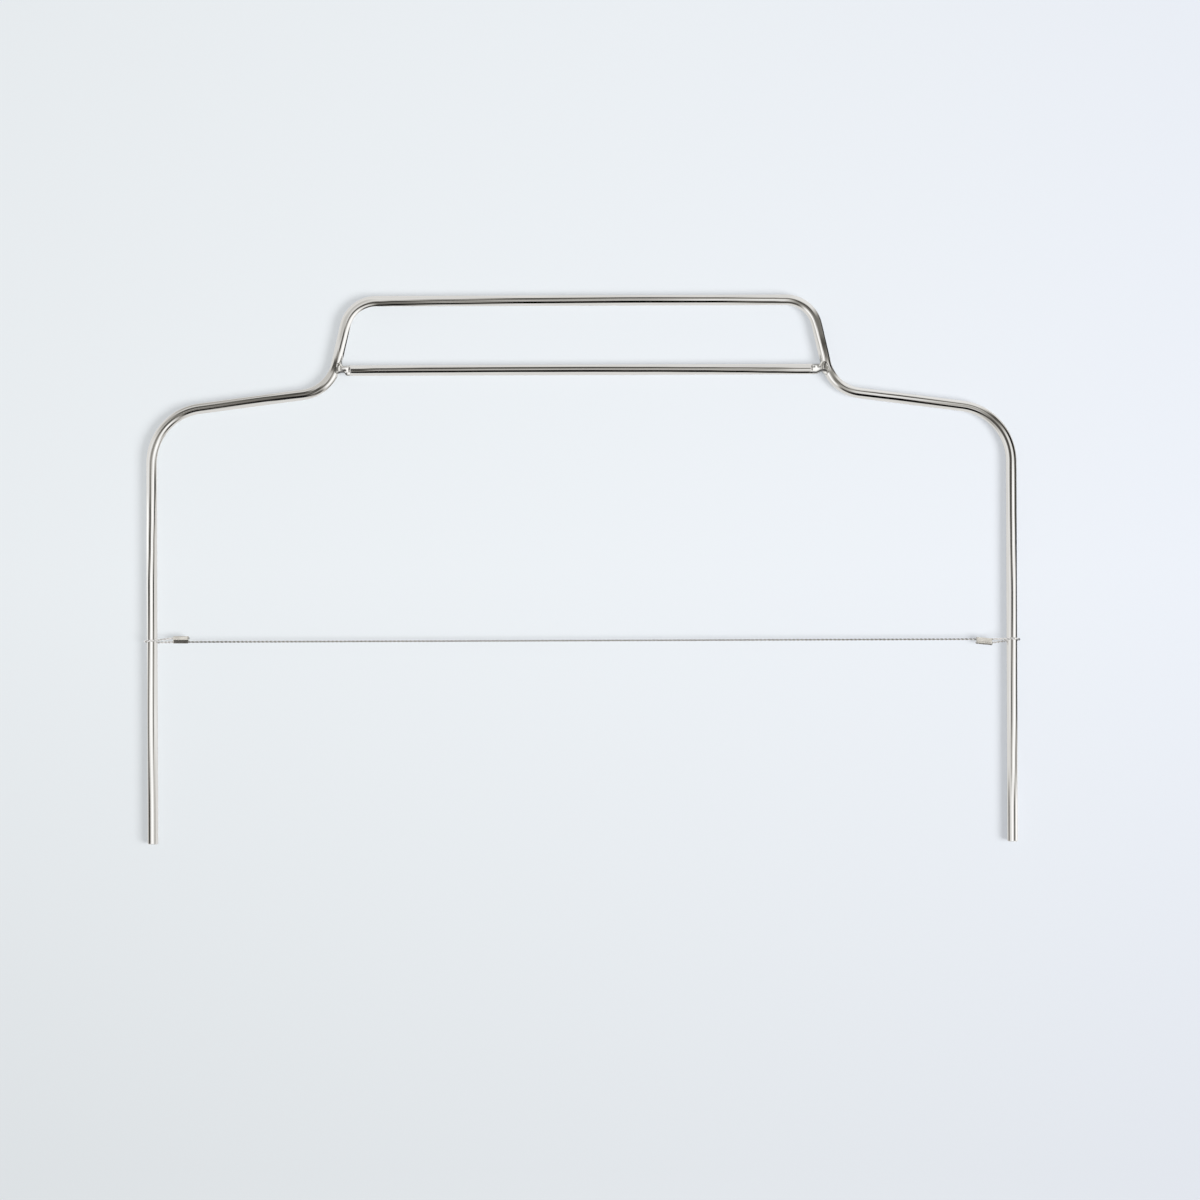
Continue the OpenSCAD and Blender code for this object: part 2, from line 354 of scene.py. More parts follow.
LEFT_CARDS = [
    (12, [(-88, -38, DARK), (-18, 20, WHITE), (38, 62, GREY)]),
    (45, [(-100, -60, DIM), (-35, 5, WHITE), (18, 34, DARK), (46, 112, PALE)]),
    (98, [(-130, -90, WHITE), (-78, -34, DARK), (-22, 14, WHITE), (26, 48, BLACK)]),
    (114, [(-130, -66, WHITE), (-54, -12, DARK), (-4, 24, WHITE), (34, 62, MILD)]),
    (125, [(-112, -60, WHITE), (-42, -6, DARK), (10, 42, WHITE), (54, 78, BLACK)]),
    (136, [(-112, -50, PALE), (-34, -2, DIM), (22, 50, WHITE), (60, 98, BLACK)]),
    (151, [(-60, -34, PALE), (-22, 18, MILD), (36, 74, WHITE), (92, 112, DIM)]),
    (160, [(-72, -24, GREY), (-20, 12, DARK), (22, 42, WHITE), (54, 86, BLACK)]),
    (169, [(-112, -62, GREY), (-44, -10, DARK), (-6, 14, DIM), (16, 52, BLACK)]),
    (198, [(-112, -76, GREY), (-60, 38, DARK), (-34, 0, DIM), (8, 38, BLACK)]),
    (206, [(-112, -76, SOFT), (-56, 48, DARK), (-18, 4, DIM), (10, 50, BLACK)]),
    (214, [(-112, -72, SOFT), (-54, 58, DARK), (-8, 8, MILD), (18, 58, BLACK)]),
    (220, [(-112, -30, SOFT), (-22, 86, DARK), (24, 44, GREY)]),
    (224, [(-112, -12, SOFT), (-2, 28, DIM), (44, 74, WHITE), (96, 122, DIM)]),
    (228, [(-112, -14, SOFT), (-10, 18, MILD), (34, 78, WHITE), (100, 124, MILD)]),
    (231, [(-70, 14, DARK), (20, 64, WHITE), (76, 112, DIM)]),
    (233, [(-60, 8, DARK), (24, 70, WHITE), (88, 126, DARK)]),
    (236, [(-34, 12, MILD), (28, 74, WHITE), (92, 132, BLACK)]),
    (239, [(-8, 20, DARK), (36, 84, WHITE), (96, 132, BLACK)]),
    (244, [(-60, -10, SOFT), (-2, 26, DARK), (40, 90, WHITE), (104, 136, BLACK)]),
    (250, [(-60, -2, SOFT), (18, 42, DIM), (56, 112, WHITE)]),
    (254, [(-46, -8, SOFT), (18, 42, DARK), (58, 98, WHITE)]),
    (258, [(-46, -6, SOFT), (18, 50, DARK), (64, 80, PALE), (92, 128, BLACK)]),
    (264, [(8, 118, DARK), (44, 66, DIM), (80, 124, BLACK)]),
    (270, [(-4, 92, DARK), (26, 54, DIM), (64, 112, BLACK)]),
    (290, [(-24, 4, DARK), (8, 38, MILD), (42, 80, BLACK)]),
    (320, [(-48, -12, DARK), (-8, 10, GREY), (18, 62, BLACK)]),
]
RIGHT_CARDS = [
    (12, [(-112, -62, WHITE), (-50, -24, DARK), (-8, 24, WHITE), (60, 96, DIM)]),
    (30, [(-92, -56, DIM), (-42, -4, WHITE), (18, 34, DIM)]),
    (50, [(-135, -82, BLACK), (-60, -20, WHITE), (2, 26, DARK), (46, 66, PALE)]),
    (95, [(-135, -88, BLACK), (-64, -34, WHITE), (-16, 14, BLACK), (28, 56, PALE)]),
    (115, [(-135, -70, BLACK), (-50, -16, WHITE), (-4, 30, DARK), (42, 60, PALE)]),
    (125, [(-135, -58, DARK), (-46, -16, WHITE), (-2, 36, DARK), (50, 68, PALE)]),
    (138, [(-130, -58, DARK), (-42, -14, WHITE), (-4, 40, DARK), (60, 78, PALE)]),
    (152, [(-102, -46, BLACK), (-34, -16, PALE), (-6, 38, DARK), (54, 74, PALE)]),
    (161, [(-80, 46, DARK), (-24, 4, MILD), (50, 90, GREY)]),
    (169, [(-112, -64, PALE), (-48, -28, DIM), (-20, 12, GREY), (22, 60, BLACK)]),
    (198, [(-112, -72, PALE), (-58, -30, DARK), (-20, -2, PALE), (9, 54, BLACK)]),
    (206, [(-112, -76, PALE), (-52, -28, DARK), (-18, 2, PALE), (13, 58, BLACK)]),
    (214, [(-112, -66, PALE), (-48, -26, DIM), (14, 60, BLACK)]),
    (220, [(-112, -48, PALE), (-34, 60, DARK), (-12, 26, GREY)]),
    (224, [(-44, 18, DIM), (36, 54, WHITE), (66, 80, SOFT)]),
    (228, [(-136, -84, DARK), (-80, 4, MILD), (24, 48, WHITE)]),
    (231, [(-112, -60, BLACK), (-50, -26, PALE), (-20, 12, DIM), (18, 60, WHITE)]),
    (235, [(-136, -80, BLACK), (-76, -8, DIM), (12, 34, WHITE), (46, 62, SOFT)]),
    (240, [(-136, -88, BLACK), (-86, 0, DARK), (16, 38, WHITE), (46, 62, GREY)]),
    (244, [(-136, -88, BLACK), (-84, 4, DIM), (22, 44, WHITE), (52, 68, GREY)]),
    (249, [(-136, -80, DARK), (-78, 20, DIM), (38, 54, WHITE), (62, 76, GREY)]),
    (254, [(-112, -50, PALE), (-34, 20, DIM), (-28, -6, DARK), (38, 56, WHITE)]),
    (258, [(-112, -46, PALE), (-26, 76, DARK), (6, 38, MILD)]),
    (264, [(-32, -10, DIM), (6, 22, PALE), (36, 80, DARK)]),
    (268, [(-38, -12, DIM), (-6, 18, PALE), (28, 76, DARK)]),
    (290, [(-54, -20, DIM), (-14, 2, PALE), (16, 56, BLACK)]),
    (320, [(-58, -26, DARK), (-18, 2, GREY), (9, 54, BLACK)]),
]

# The same for the grip bar, with each place measured from the nearer riser's surface
GRIP_LEFT_CARDS = [
    (7, [(-28, 22, DARK), (24, 52, BLACK)]),
    (14, [(-38, -8, DARK), (-4, 8, MILD), (10, 50, BLACK)]),
    (36, [(-48, -14, DARK), (-12, 6, GREY), (8, 44, BLACK)]),
    (60, [(-52, -18, DARK), (-14, 0, GREY), (4, 40, BLACK)]),
]
GRIP_RIGHT_CARDS = [
    (8, [(-16, 2, DIM), (42, 54, DIM), (54, 90, BLACK)]),
    (19, [(-28, 0, DIM), (4, 26, GREY), (34, 44, DIM), (42, 78, BLACK)]),
    (31, [(-34, -8, DIM), (-4, 18, GREY), (22, 32, DIM), (30, 64, BLACK)]),
    (46, [(-38, -14, DARK), (-12, 8, GREY), (14, 54, BLACK)]),
    (66, [(-46, -18, DARK), (-16, 6, GREY), (10, 46, BLACK)]),
    (90, [(-52, -18, DARK), (-14, 0, GREY), (4, 42, BLACK)]),
]


def eased(share):
    share = min(max(share, 0.0), 1.0)
    return share * share * (3 - 2 * share)


def shown_at(cards, angle):
    """Brightness at an angle: the room's, with each card laid over it in turn."""
    level = ROOM
    for start, end, shade in cards:
        inside = eased((angle - start) / SOFT_EDGE + 0.5) * eased((end - angle) / SOFT_EDGE + 0.5)
        level += (shade - level) * inside
    return level


def glow_along(run, length, angle, left, right):
    """Brightness of the sleeve at a place along the rod, between two stretches' cards."""
    stations = left + [(length / MM - place, cards) for place, cards in reversed(right)]
    place = min(max(run / MM, stations[0][0]), stations[-1][0])
    for before, after in zip(stations, stations[1:]):
        if place <= after[0]:
            break
    share = (place - before[0]) / (after[0] - before[0])
    first = shown_at(before[1], angle)
    return first + (shown_at(after[1], angle) - first) * eased(share)


def card_material():
    """Light of the cards, a little warmer where they are dark."""
    mat, add = new_material("reflector_cards")
    level = add("ShaderNodeAttribute", attribute_name="glow").outputs["Fac"]
    tint = mixed(add, level, CARD_WARM, CARD_WHITE)
    glow = add("ShaderNodeEmission", {"Color": tint, "Strength": level})
    add("ShaderNodeOutputMaterial", {0: glow.outputs[0]})
    return mat


def in_grip_sleeve(place):
    return (abs(place.x) < grip_joint()[0]
            and math.hypot(place.y - GRIP_Y, place.z - AXIS_Z) < GRIP_SLEEVE_R)


def laid_flat(mesh):
    """Draws in the rings of a sleeve where they would reach below the table's top."""
    for first in range(0, len(mesh.vertices), SLEEVE_SIDES):
        ring = mesh.vertices[first:first + SLEEVE_SIDES]
        middle = sum((v.co for v in ring), Vector()) / SLEEVE_SIDES
        for v in ring:
            fall = middle.z - v.co.z
            if fall > SLEEVE_FLOOR:
                v.co = middle + (v.co - middle) * (SLEEVE_FLOOR / fall)


def sleeve(name, tree, corners, bends, radius, cards_at):
    """Tube of light round a run of the rod, as bright at each place and angle as cards_at
    says, open below and at its ends."""
    tube = swept(path_object(name, corners, bends), tree,
                 {"Radius": radius, "Step": ROD_STEP, "Chamfer": 0.0, "Sides": SLEEVE_SIDES,
                  "Material": card_material()})
    mesh = tube.data
    places = [p.vector.copy() for p in mesh.attributes["rod_place"].data]
    angles = [math.degrees(math.atan2(p[0], -p[1])) for p in places]
    glow = mesh.attributes.new("glow", "FLOAT", "POINT")
    for item, place, angle in zip(glow.data, places, angles):
        item.value = cards_at(place[2], angle)
    laid_flat(mesh)
    form = bmesh.new()
    form.from_mesh(mesh)
    gone = [f for f in form.faces
            if len(f.verts) > 4 or any(abs(angles[v.index]) > SLEEVE_OPEN_FROM for v in f.verts)
            or radius > GRIP_SLEEVE_R and in_grip_sleeve(f.calc_center_median())]
    bmesh.ops.delete(form, geom=gone, context="FACES")
    form.to_mesh(mesh)
    form.free()
    only_in_reflections(tube)


def rod_sleeve(tree):
    corners = rod_corners()
    for end in (0, -1):
        x, y, z = corners[end]
        corners[end] = (x, y - SLEEVE_REACH, z)
    length = rod_length()
    sleeve("cards_round_rod", tree, corners, ROD_BENDS, SLEEVE_R,
           lambda run, angle: glow_along(run - SLEEVE_REACH, length, angle,
                                         LEFT_CARDS, RIGHT_CARDS))


def grip_sleeve(tree):
    joint_x, _ = grip_joint()
    reach = joint_x - GRIP_SLEEVE_FROM
    sleeve("cards_round_grip", tree, [(-reach, GRIP_Y, AXIS_Z), (reach, GRIP_Y, AXIS_Z)],
           [0, 0], GRIP_SLEEVE_R,
           lambda run, angle: glow_along(run + GRIP_SLEEVE_FROM - ROD_R,
                                         2 * (joint_x - ROD_R), angle,
                                         GRIP_LEFT_CARDS, GRIP_RIGHT_CARDS))


# Small cards that the ferrules mirror: name, node, x and y from the ferrule's middle and
# height, in millimetres, and shade
FERRULE_CARDS = [
    ("flag_dark", "ferrule_left", (-14, 12), (-20, -1), 14, DARK),
    ("card_bright", "ferrule_right", (-12, 2), (-60, -14), 12, WHITE),
]


def ferrule_cards():
    for name, node, x, y, z, shade in FERRULE_CARDS:
        low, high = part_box(node)
        middle = (low + high) / 2
        card = plane(name, [middle.x + d * MM for d in x], [middle.y + d * MM for d in y],
                     z * MM)
        card.data.materials.append(glow_material(name, (1.0, 0.97, 0.92), shade))
        only_in_reflections(card)


AMBIENT = 0.37
HORIZON_AHEAD = (0.74, 0.74, 0.75)
HORIZON_ASIDE = (0.16, 0.15, 0.14)
HORIZON_TURNS = (0.55, 0.8)


def world():
    """Even light all round, and for mirrors a horizon that is dark to both sides."""
    surround = bpy.data.worlds.new("studio")
    bpy.context.scene.world = surround
    surround.use_nodes = True
    surround.node_tree.nodes.clear()
    add = nodes_of(surround.node_tree)
    way = add("ShaderNodeSeparateXYZ", {0: add("ShaderNodeTexCoord").outputs["Generated"]})
    aside = ranged(add, maths(add, "ABSOLUTE", way.outputs["X"]), HORIZON_TURNS,
                   interpolation_type="SMOOTHSTEP")
    tint = mixed(add, aside, HORIZON_AHEAD, HORIZON_ASIDE)
    mirrored = add("ShaderNodeBackground", {"Color": tint})
    even = add("ShaderNodeBackground", {"Color": (1, 1, 1, 1), "Strength": AMBIENT})
    in_mirror = add("ShaderNodeLightPath").outputs["Is Glossy Ray"]
    choice = add("ShaderNodeMixShader", {0: in_mirror, 1: even.outputs[0], 2: mirrored.outputs[0]})
    add("ShaderNodeOutputWorld", {0: choice.outputs[0]})


LAMP_SIZE = 0.95
LAMP_POWER = 27.8
LAMP_PLACE = (1.10, -0.38, 1.34)


def key_light():
    data = bpy.data.lights.new("key_light", "AREA")
    data.shape = "DISK"
    data.size = LAMP_SIZE
    data.energy = LAMP_POWER
    lamp = bpy.data.objects.new("key_light", data)
    lamp.location = LAMP_PLACE
    lamp.rotation_euler = (-lamp.location).to_track_quat("-Z", "Y").to_euler()
    lamp.visible_glossy = False
    bpy.context.scene.collection.objects.link(lamp)


# Materials

DRAWN_LINES = ((0.3, 0.7), (0.93, 1.05))
DULL_PATCHES = (0.35, 0.75)
DULLER = 1.6
PATCH_SCALE = 260
BURN_AND_SHADE_TONE = 0.03
LINE_BUMP = 0.12
LINE_DEPTH = 0.02 * MM


def steel_material(name, colour, roughness, grain, streak, attribute=None):
    """Bright drawn steel: fine lines run along the metal, which is a little duller and darker in
    places, and dark where it is burnt round the welds and where shade and dark reflections are
    painted on. The streak scales the lines' coordinates, least along the metal's run."""
    mat, add = new_material(name)
    if attribute:
        place = add("ShaderNodeAttribute", attribute_name=attribute).outputs["Vector"]
    else:
        place = add("ShaderNodeTexCoord").outputs["Object"]
    drawn = add("ShaderNodeMapping", {"Vector": place, "Scale": streak}).outputs[0]
    lines = add("ShaderNodeTexNoise", {"Vector": drawn, "Scale": grain, "Detail": 4})
    patches = add("ShaderNodeTexNoise", {"Vector": place, "Scale": PATCH_SCALE, "Detail": 3})
    # This attribute holds heat tint round the welds, and painted shade and painted reflection on
    # the metal.
    burn_and_shade = add("ShaderNodeAttribute", attribute_name="burn_and_shade").outputs["Fac"]
    shade = maths(add, "MULTIPLY", ranged(add, lines.outputs["Fac"], *DRAWN_LINES),
                  ranged(add, burn_and_shade, (0, 1), (1, BURN_AND_SHADE_TONE)))
    dull = ranged(add, patches.outputs["Fac"], DULL_PATCHES, (roughness, roughness * DULLER))
    bump = add("ShaderNodeBump", {"Strength": LINE_BUMP, "Distance": LINE_DEPTH,
                                  "Height": lines.outputs["Fac"]})
    skin = add("ShaderNodeBsdfPrincipled",
               {"Metallic": 1, "Base Color": scaled(add, colour, shade), "Roughness": dull,
                "Normal": bump.outputs[0]})
    add("ShaderNodeOutputMaterial", {0: skin.outputs[0]})
    return mat


# Sweeps along a path, by geometry nodes

def swept(path, tree, values):
    """Plain mesh that a node tree makes of a path object, with the tree's named inputs
    set first. The path object becomes the piece."""
    sockets = {s.name: s.identifier for s in tree.interface.items_tree if s.in_out == "INPUT"}
    modifier = path.modifiers.new(tree.name, "NODES")
    modifier.node_group = tree
    for name, value in values.items():
        modifier[sockets[name]] = value
    depsgraph = bpy.context.evaluated_depsgraph_get()
    mesh = bpy.data.meshes.new_from_object(path.evaluated_get(depsgraph))
    path.modifiers.clear()
    path.data = mesh
    return path


def path_object(name, points, bends=None):
    """Open line of points, with the bend radius at each one."""
    mesh = bpy.data.meshes.new(name)
    mesh.from_pydata(points, [(i, i + 1) for i in range(len(points) - 1)], [])
    if bends:
        radius = mesh.attributes.new("bend_r", "FLOAT", "POINT")
        for item, value in zip(radius.data, bends):
            item.value = value
    obj = bpy.data.objects.new(name, mesh)
    bpy.context.scene.collection.objects.link(obj)
    return obj


def sweep_tree(name, inputs):
    """Tree that makes a mesh of a path, with named inputs and no nodes yet."""
    tree = bpy.data.node_groups.new(name, "GeometryNodeTree")
    for label, kind in [("Path", "Geometry")] + inputs:
        tree.interface.new_socket(label, in_out="INPUT", socket_type="NodeSocket" + kind)
    tree.interface.new_socket("Piece", in_out="OUTPUT", socket_type="NodeSocketGeometry")
    return tree


def evenly(add, curve, step):
    inputs = {"Curve": curve, "Length": step}
    return add("GeometryNodeResampleCurve", inputs, mode="LENGTH").outputs[0]


def circle(add, radius, sides):
    inputs = {"Resolution": sides, "Radius": radius}
    return add("GeometryNodeCurvePrimitiveCircle", inputs, mode="RADIUS").outputs[0]


def tube_along(add, curve, ring):
    inputs = {"Curve": curve, "Profile Curve": ring, "Fill Caps": True}
    return add("GeometryNodeCurveToMesh", inputs).outputs[0]


def keep(add, geometry, name, kind, value):
    """Geometry whose points carry a value under a name."""
    inputs = {"Geometry": geometry, "Name": name, "Value": value}
    node = add("GeometryNodeStoreNamedAttribute", inputs, data_type=kind, domain="POINT")
    return node.outputs[0]


def kept(add, name, kind):
    """The value that each point carries under a name."""
    return add("GeometryNodeInputNamedAttribute", {"Name": name}, data_type=kind).outputs[0]


def finished(add, geometry, material):
    """Makes the tree's result smooth, plain and of one material."""
    smooth = add("GeometryNodeSetShadeSmooth", {"Geometry": geometry}).outputs[0]
    painted = add("GeometryNodeSetMaterial", {"Geometry": smooth, "Material": material})
    real = add("GeometryNodeRealizeInstances", {"Geometry": painted.outputs[0]})
    add("NodeGroupOutput", {0: real.outputs[0]})


def chamfered(add, tube, radius, chamfer):
    """Tube with its two end faces, which alone have many corners, drawn out and made
    smaller."""
    corners = add("GeometryNodeInputMeshFaceNeighbors").outputs["Vertex Count"]
    is_end = add("FunctionNodeCompare", {"A": corners, "B": 4}, data_type="INT",
                 operation="GREATER_THAN").outputs[0]
    cut_end = add("GeometryNodeExtrudeMesh", {"Mesh": tube, "Selection": is_end,
                                              "Offset Scale": chamfer}, mode="FACES").outputs
    share = maths(add, "DIVIDE", maths(add, "SUBTRACT", radius, chamfer), radius)
    inputs = {"Geometry": cut_end["Mesh"], "Selection": cut_end["Top"], "Scale": share}
    return add("GeometryNodeScaleElements", inputs, domain="FACE").outputs[0]


def rod_tree():
    """Round rod along a line of corners, each rounded to its own radius, with its cut
    ends chamfered. rod_place keeps a point's place across the rod and along it."""
    tree = sweep_tree("bent_rod", [("Radius", "Float"), ("Step", "Float"), ("Chamfer", "Float"),
                                   ("Sides", "Int"), ("Material", "Material")])
    add = nodes_of(tree)
    given = add("NodeGroupInput").outputs
    line = add("GeometryNodeMeshToCurve", {"Mesh": given["Path"]}).outputs[0]
    rounded = add("GeometryNodeFilletCurve",
                  {"Curve": line, "Count": BEND_STEPS, "Radius": kept(add, "bend_r", "FLOAT")},
                  mode="POLY").outputs[0]
    run = add("GeometryNodeSplineParameter").outputs["Length"]
    middle = keep(add, evenly(add, rounded, given["Step"]), "run", "FLOAT", run)
    ring = keep(add, circle(add, given["Radius"], given["Sides"]), "rod_place", "FLOAT_VECTOR",
                add("GeometryNodeInputPosition").outputs[0])
    rod = chamfered(add, tube_along(add, middle, ring), given["Radius"], given["Chamfer"])
    across = add("ShaderNodeSeparateXYZ", {0: kept(add, "rod_place", "FLOAT_VECTOR")}).outputs
    place = add("ShaderNodeCombineXYZ", {"X": across["X"], "Y": across["Y"],
                                         "Z": kept(add, "run", "FLOAT")}).outputs[0]
    finished(add, keep(add, rod, "rod_place", "FLOAT_VECTOR", place), given["Material"])
    return tree


def twist_tree():
    """Two strands that wind round each other along a path."""
    tree = sweep_tree("twisted_wire", [("Strand radius", "Float"), ("Twist radius", "Float"),
                                       ("Lay", "Float"), ("Step", "Float"), ("Sides", "Int"),
                                       ("Material", "Material")])
    add = nodes_of(tree)
    given = add("NodeGroupInput").outputs
    line = add("GeometryNodeMeshToCurve", {"Mesh": given["Path"]}).outputs[0]
    middle = evenly(add, line, given["Step"])
    ring = circle(add, given["Strand radius"], given["Sides"])
    run = add("GeometryNodeSplineParameter").outputs["Length"]
    turns = maths(add, "DIVIDE", run, given["Lay"])
    along = add("GeometryNodeInputTangent").outputs[0]
    out_way = add("GeometryNodeInputNormal").outputs[0]
    cross_way = vectors(add, "CROSS_PRODUCT", along, out_way)
    both = add("GeometryNodeJoinGeometry")
    for strand in range(2):
        angle = maths(add, "MULTIPLY_ADD", turns, math.tau, strand * math.pi)
        way = vectors(add, "ADD", scaled(add, out_way, maths(add, "COSINE", angle)),
                      scaled(add, cross_way, maths(add, "SINE", angle)))
        offset = scaled(add, way, given["Twist radius"])
        moved = add("GeometryNodeSetPosition", {"Geometry": middle, "Offset": offset})
        tree.links.new(tube_along(add, moved.outputs[0], ring), both.inputs[0])
    finished(add, both.outputs[0], given["Material"])
    return tree


# Pieces

def rod_corners():
    """Corners of the bent rod's centreline, from the left leg's end to the right's."""
    corner_y = BASE_Y + CORNER_H
    hip_y = corner_y + SHOULDER_RISE
    handle_y = hip_y + HANDLE_RISE
    right = [(HANDLE_W / 2, handle_y), (HIP_SPACING / 2, hip_y), (LEG_X, corner_y),
             (LEG_X, BASE_Y + END_CHAMFER)]
    left = [(-x, y) for x, y in reversed(right)]
    return [(x, y, AXIS_Z) for x, y in left + right]


def rod_length():
    """Length of the rod's centreline: its straights and the arcs of its bends."""
    corners = [Vector(c) for c in rod_corners()]
    total = sum((b - a).length for a, b in zip(corners, corners[1:]))
    for a, b, c, bend_r in zip(corners, corners[1:], corners[2:], ROD_BENDS[1:]):
        turn = (b - a).angle(c - b)
        total -= bend_r * (2 * math.tan(turn / 2) - turn)
    return total


def frame_rod(tree, steel):
    path = path_object("rod_bent", rod_corners(), ROD_BENDS)
    rod = swept(path, tree, {"Radius": ROD_R, "Step": ROD_STEP, "Chamfer": END_CHAMFER,
                             "Sides": ROD_SIDES, "Material": steel})
    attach(rod, "frame")
    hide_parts("frame_rod")


def twisted(name, points, tree, steel):
    return swept(path_object(name, points), tree, {
        "Strand radius": STRAND_D / 2, "Twist radius": (WIRE_D - STRAND_D) / 2,
        "Lay": STRAND_LAY, "Step": STRAND_LAY / STEPS_IN_A_LAY, "Sides": STRAND_SIDES,
        "Material": steel})


def groove_painted_shade(place):
    """How dark the painted shade is in the grooves between the straight wire's strands."""
    away = math.hypot(place.y - WIRE_Y, place.z - AXIS_Z)
    return GROOVE_SHADE_TONE * eased((GROOVE_REACH - away) / GROOVE_SOFT)


def cutting_wire(tree, steel):
    wire = twisted("wire_twisted", [(WIRE_LOW.x, WIRE_Y, AXIS_Z),
                                    (WIRE_HIGH.x, WIRE_Y, AXIS_Z)], tree, steel)
    darken_points(wire, groove_painted_shade)
    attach(wire, "wire")
    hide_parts("cutting_wire")


def loop_points(side, reach, cut_x, high_y, low_y, shift):
    """Middle of the wire round a leg, from one cut end over the leg and back under it."""
    loop_r = (ROD_R + LOOP_CLEARANCE + WIRE_D / 2) / math.cos(LOOP_TILT)
    wrap = math.acos(loop_r / reach)
    ring = []
    for i in range(LOOP_STEPS + 1):
        angle = wrap + (math.tau - 2 * wrap) * i / LOOP_STEPS
        rise = loop_r * math.sin(angle)
        ring.append(Vector((loop_r * math.cos(angle), shift + rise * math.sin(LOOP_TILT),
                            rise * math.cos(LOOP_TILT))))
    high = Vector((reach, high_y, 0))
    low = Vector((reach, low_y, 0))
    starts = [a.lerp(b, (cut_x - a.x) / (b.x - a.x))
              for a, b in ((ring[0], high), (ring[-1], low))]
    points = [starts[0]] + ring + [starts[1]]
    return [(side * (LEG_X - p.x), WIRE_Y + p.y, AXIS_Z + p.z) for p in points]


def loops(tree, steel):
    left = twisted("loop_twisted_left",
                   loop_points(-1, LEFT_REACH, LEFT_REACH - MOUTH_GAP, CHANNEL_PITCH, 0,
                               LOOP_SHIFT), tree, steel)
    right = twisted("loop_twisted_right",
                    loop_points(1, RIGHT_REACH, RIGHT_REACH, 0, -CHANNEL_PITCH,
                                -LOOP_SHIFT), tree, steel)
    for loop, body, node in ((left, "left_loop", "loop_left"), (right, "wire", "loop_right")):
        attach(loop, body)
        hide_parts(node)


def tails(tree, steel):
    for name, node in (("tail_twisted_left", "tail_left"), ("tail_twisted_right", "tail_right")):
        low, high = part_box(node)
        y = (low.y + high.y) / 2
        tail = twisted(name, [(low.x, y, AXIS_Z), (high.x, y, AXIS_Z)], tree, steel)
        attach(tail, "wire")
        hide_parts(node)


def grip_joint():
    """Where the grip bar's axis meets the right riser's, and the riser's lean there."""
    lean = math.atan2((HIP_SPACING - HANDLE_W) / 2, HANDLE_RISE)
    fall = math.atan2(SHOULDER_RISE, LEG_X - HIP_SPACING / 2)
    setback = HIP_BEND_R * math.tan((math.pi / 2 - lean - fall) / 2)
    rise = GRIP_Y - (BASE_Y + CORNER_H + SHOULDER_RISE)
    if rise >= setback * math.cos(lean):
        return HIP_SPACING / 2 - rise * math.tan(lean), lean
    middle_x = HIP_SPACING / 2 - setback * math.sin(lean) + HIP_BEND_R * math.cos(lean)
    middle_rise = setback * math.cos(lean) + HIP_BEND_R * math.sin(lean)
    turned = math.asin((middle_rise - rise) / HIP_BEND_R)
    return middle_x - HIP_BEND_R * math.cos(turned), turned


def lofted(name, shells, material):
    """Smooth closed skins over stacks of rings. Each stack is closed by a middle point at
    either end."""
    points, faces = [], []
    for rings in shells:
        first, count = len(points), len(rings[0])
        for ring in rings:
            points.extend(ring)
        for r in range(len(rings) - 1):
            low = first + r * count
            for i in range(count):
                j = (i + 1) % count
                faces.append((low + i, low + j, low + count + j, low + count + i))
        for ring, low in ((rings[0], first), (rings[-1], first + (len(rings) - 1) * count)):
            middle = len(points)
            points.append(tuple(sum(p[k] for p in ring) / count for k in range(3)))
            faces.extend((middle, low + i, low + (i + 1) % count) for i in range(count))
    mesh = bpy.data.meshes.new(name)
    mesh.from_pydata(points, [], faces)
    form = bmesh.new()
    form.from_mesh(mesh)
    bmesh.ops.recalc_face_normals(form, faces=form.faces)
    form.to_mesh(mesh)
    form.free()
    mesh.polygons.foreach_set("use_smooth", [True] * len(mesh.polygons))
    mesh.materials.append(material)
    obj = bpy.data.objects.new(name, mesh)
    bpy.context.scene.collection.objects.link(obj)
    return obj


def soft_limit(value, limit, soft):
    """The value, held within plus and minus the limit with a rounded edge."""
    size = abs(value)
    if size <= limit - soft:
        return value
    return math.copysign(limit - soft + soft * math.tanh((size - limit + soft) / soft), value)


def bump_at(x, y, centre_x, centre_y, reach_x, reach_y):
    return math.exp(-((x - centre_x) / reach_x) ** 2 - ((y - centre_y) / reach_y) ** 2)


def off_line(x, y, ends):
    """Distance of a place from the line between two others."""
    (ax, ay), (bx, by) = ends
    dx, dy = bx - ax, by - ay
    share = min(max(((x - ax) * dx + (y - ay) * dy) / (dx * dx + dy * dy), 0), 1)
    return math.hypot(x - ax - share * dx, y - ay - share * dy)


def darken_points(piece, tone_at):
    """Gives each point of a piece how dark it is, from burns and painted shade."""
    burn_and_shade = piece.data.attributes.new("burn_and_shade", "FLOAT", "POINT")
    for item, point in zip(burn_and_shade.data, piece.data.vertices):
        item.value = tone_at(point.co)


def weld_burn_and_shade(place):
    """How dark the metal is at a place near a weld, from heat tint, painted shade and painted
    reflection.
    """
    off = (grip_joint()[0] - abs(place.x)) / MM
    if off > DARKENED_WITHIN:
        return 0.0
    up = (place.y - GRIP_Y) / MM
    tone = 0.0
    for corners, reach, dark in WELD_BURNS_AND_SHADE[1 if place.x > 0 else -1]:
        away = min(off_line(off, up, ends) for ends in zip(corners, corners[1:]))
        tone = max(tone, dark * math.exp(-(away / reach) ** 2))
    return tone


def taken_below(side, off):
    """Share of the bar's lower side that the electrode took, at a distance from the
    riser's axis."""
    _, worn, worn_from, worn_to = PINCHES[side]
    return worn * (1 - eased((off - worn_from) / (worn_to - worn_from)))


